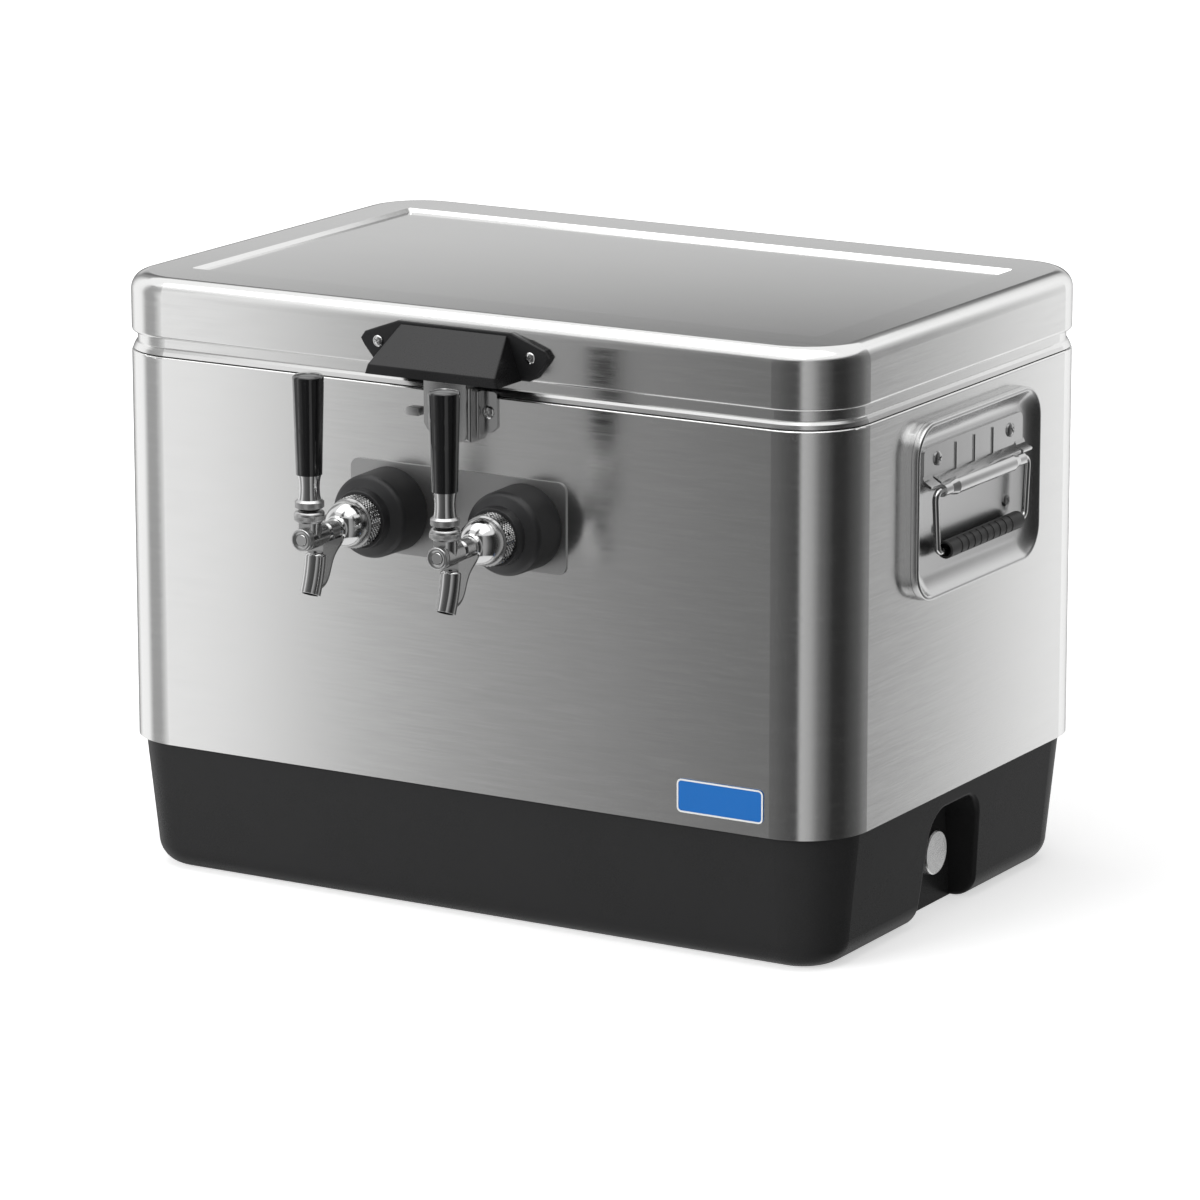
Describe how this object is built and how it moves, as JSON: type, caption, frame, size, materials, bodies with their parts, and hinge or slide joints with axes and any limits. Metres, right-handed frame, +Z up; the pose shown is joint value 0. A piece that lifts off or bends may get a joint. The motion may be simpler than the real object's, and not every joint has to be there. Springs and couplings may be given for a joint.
{
  "type": "jockey box beer cooler",
  "caption": "Insulated steel-belted cooler with lever faucets on its front, a cold plate inside, hinged latching lid, folding end handles and a drain.",
  "frame": {"origin": "middle of the cooler's footprint, on the surface that it stands on", "axes": "+Z up; -Y out of the front wall with the faucets; +X towards the end with the drain"},
  "size_m": [0.6866, 0.5875, 0.48],
  "materials": {
    "brushed_belt": "satin",
    "brushed_lid": "satin",
    "pressed_steel": "satin",
    "polished_steel": "polished",
    "tube_steel": "satin",
    "moulded_black": "satin",
    "gloss_black": "gloss",
    "grip_rubber": "matte",
    "liner_plastic": "satin",
    "foam": "matte",
    "cast_alloy": "matte",
    "badge_blue": "gloss"
  },
  "bodies": {
    "cooler_body": {"base_tub": "moulded_black", "steel_belt": "brushed_belt", "inner_liner": "liner_plastic", "body_insulation": "foam", "hinge_body_leaves": "pressed_steel", "hinge_pins": "polished_steel", "hinge_body_screws": "polished_steel", "latch_keeper": "pressed_steel", "latch_screw": "polished_steel", "handle_pans": "pressed_steel", "handle_plate_left": "pressed_steel", "handle_plate_right": "pressed_steel", "handle_bolts": "polished_steel", "tap_plate": "brushed_belt", "shank_cover_left": "moulded_black", "shank_cover_right": "moulded_black", "coupling_nuts": "polished_steel", "tap_shanks": "polished_steel", "faucet_body_left": "polished_steel", "faucet_body_right": "polished_steel", "faucet_bonnet_left": "polished_steel", "faucet_bonnet_right": "polished_steel", "shaft_guides": "polished_steel", "wall_locknuts": "pressed_steel", "wall_washers": "grip_rubber", "tail_nuts": "pressed_steel", "tailpieces": "tube_steel", "beverage_lines": "tube_steel", "line_nuts": "pressed_steel", "plate_stubs": "tube_steel", "cold_plate": "cast_alloy", "inlet_shanks": "tube_steel", "drain_spout": "moulded_black", "drain_locknut": "moulded_black", "badge_plate": "badge_blue"},
    "lid": {"lid_skin": "brushed_lid", "lid_liner": "liner_plastic", "lid_insulation": "foam", "hinge_lid_leaves": "pressed_steel", "hinge_lid_screws": "polished_steel", "lid_handle": "moulded_black", "lid_handle_screws": "polished_steel", "hasp_pin": "pressed_steel"},
    "hasp": {"hasp_plate": "pressed_steel"},
    "latch_lever": {"latch_lever": "pressed_steel"},
    "bail_left": {"bail_rod_left": "polished_steel", "bail_grip_left": "grip_rubber"},
    "tap_lever_left": {"tap_lever_left": "polished_steel", "lever_ferrule_left": "polished_steel", "tap_handle_left": "gloss_black"},
    "tap_shaft_left": {"tap_shaft_left": "polished_steel"},
    "bail_right": {"bail_rod_right": "polished_steel", "bail_grip_right": "grip_rubber"},
    "tap_lever_right": {"tap_lever_right": "polished_steel", "lever_ferrule_right": "polished_steel", "tap_handle_right": "gloss_black"},
    "tap_shaft_right": {"tap_shaft_right": "polished_steel"},
    "drain_gasket": {"drain_gasket": "grip_rubber"},
    "drain_cap": {"drain_cap": "pressed_steel"}
  },
  "joints": [
    {"name": "lid_hinge", "type": "hinge", "parent": "cooler_body", "child": "lid", "pos_m": [0, 0.22, 0.42], "axis": [-1, 0, 0], "range_deg": [0, 100]},
    {"name": "hasp_hinge", "type": "hinge", "parent": "lid", "child": "hasp", "pos_m": [0, -0.2325, 0.4374], "axis": [-1, 0, 0], "range_deg": [0, 60]},
    {"name": "latch_turn", "type": "hinge", "parent": "cooler_body", "child": "latch_lever", "pos_m": [0, -0.228, 0.4055], "axis": [0, -1, 0], "range_deg": [0, 90]},
    {"name": "bail_swing_left", "type": "hinge", "parent": "cooler_body", "child": "bail_left", "pos_m": [-0.336, 0, 0.352], "axis": [0, 1, 0], "range_deg": [0, 95]},
    {"name": "bail_swing_right", "type": "hinge", "parent": "cooler_body", "child": "bail_right", "pos_m": [0.336, 0, 0.352], "axis": [0, -1, 0], "range_deg": [0, 95]},
    {"name": "tap_pull_left", "type": "hinge", "parent": "cooler_body", "child": "tap_lever_left", "pos_m": [-0.0598, -0.3295, 0.3385], "axis": [1, 0, 0], "range_deg": [0, 20]},
    {"name": "tap_valve_left", "type": "slide", "parent": "cooler_body", "child": "tap_shaft_left", "axis": [0, 1, 0], "range_m": [0, 0.0049]},
    {"name": "tap_pull_right", "type": "hinge", "parent": "cooler_body", "child": "tap_lever_right", "pos_m": [0.0598, -0.3295, 0.3385], "axis": [1, 0, 0], "range_deg": [0, 20]},
    {"name": "tap_valve_right", "type": "slide", "parent": "cooler_body", "child": "tap_shaft_right", "axis": [0, 1, 0], "range_m": [0, 0.0049]},
    {"name": "drain_draw", "type": "slide", "parent": "cooler_body", "child": "drain_gasket", "axis": [1, 0, 0], "range_m": [0, 0.0081]},
    {"name": "drain_unscrew", "type": "hinge", "parent": "drain_gasket", "child": "drain_cap", "pos_m": [0.297, 0, 0.048], "axis": [1, 0, 0], "range_deg": [0, 720]}
  ],
  "couplings": [
    {"joint": "tap_valve_left", "follows": "tap_pull_left", "m_per_rad": 0.0139},
    {"joint": "tap_valve_right", "follows": "tap_pull_right", "m_per_rad": 0.0139},
    {"joint": "drain_draw", "follows": "drain_unscrew", "m_per_rad": 0.000636}
  ]
}
